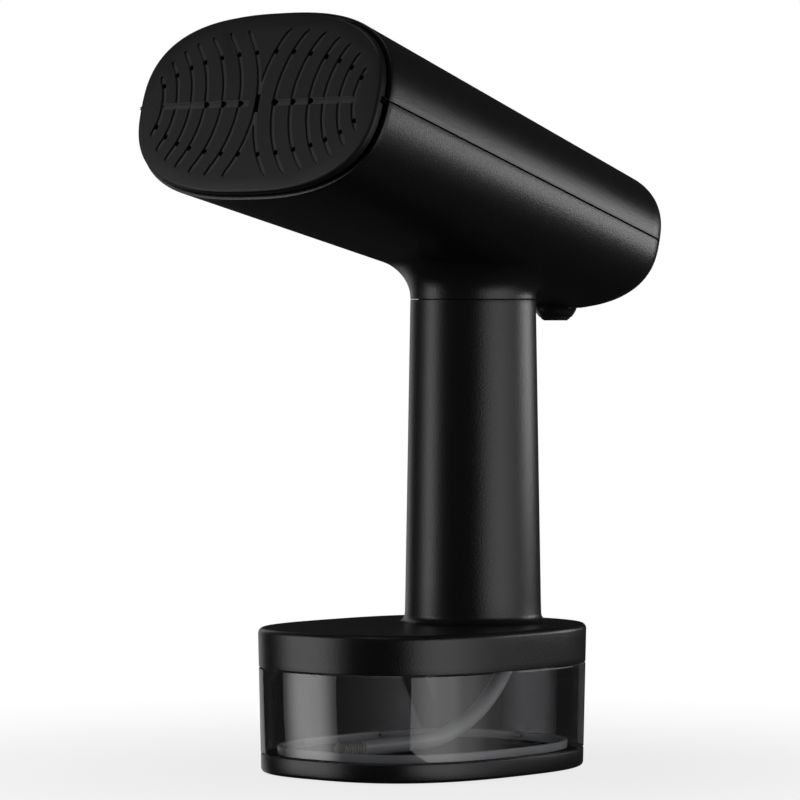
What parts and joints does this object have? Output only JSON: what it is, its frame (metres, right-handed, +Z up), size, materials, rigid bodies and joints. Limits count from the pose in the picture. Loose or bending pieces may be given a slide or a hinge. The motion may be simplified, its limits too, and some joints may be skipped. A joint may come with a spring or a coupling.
{
  "type": "garment steamer",
  "caption": "Handheld garment steamer with a tilted oval barrel, a grooved flat steam plate, a round handle and a smoked oval water tank that it stands on.",
  "frame": {"origin": "middle of the anti-slip pad's underside, on the surface that the steamer stands on", "axes": "+Z up through the handle, -Y towards the steam plate, +X across the plate"},
  "size_m": [0.0978, 0.1604, 0.2272],
  "materials": {
    "shell_plastic": "fine-grained matt black",
    "plate_coating": "satin anthracite non-stick coating",
    "inner_plastic": "plain dark moulding",
    "smoked_tank": "glossy smoked clear plastic",
    "silicone": "milky silicone",
    "black_rubber": "matt black",
    "cast_aluminium": "as cast",
    "steel": "zinc plated",
    "brass": "turned",
    "circuit_board": "green solder mask",
    "copper_winding": "enamelled wire",
    "white_nylon": "natural white",
    "clear_lens": "frosted",
    "lead_sleeve": "woven sleeving"
  },
  "bodies": {
    "tank": {"anti_slip_pad": "black_rubber", "base_cap": "shell_plastic", "tank_cup": "smoked_tank", "floor_ring": "inner_plastic"},
    "main_unit": {"handle_shell": "shell_plastic", "tank_gasket": "black_rubber", "lid_plate": "inner_plastic", "lid_screw_1": "steel", "lid_screw_2": "steel", "lid_screw_3": "steel", "lid_screw_4": "steel", "suction_elbow": "inner_plastic", "suction_hose": "silicone", "suction_strainer": "white_nylon", "supply_hose": "silicone", "boiler_hose": "silicone", "trigger_pin": "steel", "trigger_spring": "steel", "indicator_lens": "clear_lens", "switch_board": "circuit_board", "steam_switch": "inner_plastic", "power_switch": "inner_plastic", "pump_mount_lower": "black_rubber", "pump_mount_upper": "black_rubber", "pump_yoke": "steel", "pump_coil": "copper_winding", "pump_body": "white_nylon", "pump_spring": "steel", "lower_shell": "shell_plastic", "upper_shell": "shell_plastic", "face_plate": "plate_coating", "face_bezel": "inner_plastic", "plate_gasket": "silicone", "boiler_body": "cast_aluminium", "boiler_cover": "cast_aluminium", "boiler_screw_1": "steel", "boiler_screw_2": "steel", "boiler_screw_3": "steel", "boiler_screw_4": "steel", "heating_element": "steel", "boiler_inlet": "brass", "thermostat": "steel", "thermal_fuse": "white_nylon", "heat_shield": "steel", "boiler_carrier": "inner_plastic", "main_board": "circuit_board", "board_screw_1": "steel", "board_screw_2": "steel", "relay": "inner_plastic", "film_capacitor": "white_nylon", "terminal_block": "white_nylon", "heater_lead_left": "lead_sleeve", "heater_lead_right": "lead_sleeve", "cord_clamp": "inner_plastic", "clamp_screw_1": "steel", "clamp_screw_2": "steel", "cord_gland": "black_rubber"},
    "steam_trigger": {"steam_trigger": "shell_plastic"},
    "power_button": {"power_button": "inner_plastic"},
    "pump_plunger": {"pump_plunger": "steel"}
  },
  "joints": [
    {"name": "main_unit_lift", "type": "slide", "parent": "tank", "child": "main_unit", "axis": [0, 0, 1], "range_m": [0, 0.06]},
    {"name": "steam_trigger_press", "type": "hinge", "parent": "main_unit", "child": "steam_trigger", "pos_m": [0, 0.03867, 0.1246], "axis": [-1, 0, 0], "range_deg": [0, 5], "stiffness_Nm_per_rad": 0.3, "springref_deg": -5.73, "deforming": ["trigger_spring"]},
    {"name": "power_button_press", "type": "slide", "parent": "main_unit", "child": "power_button", "axis": [0, -1, 0], "range_m": [0, 0.0012], "stiffness_N_per_m": 800, "springref_m": -0.0005},
    {"name": "pump_stroke", "type": "slide", "parent": "main_unit", "child": "pump_plunger", "axis": [0, 0, 1], "range_m": [-0.0015, 0.0015], "stiffness_N_per_m": 400, "deforming": ["pump_spring"]}
  ]
}
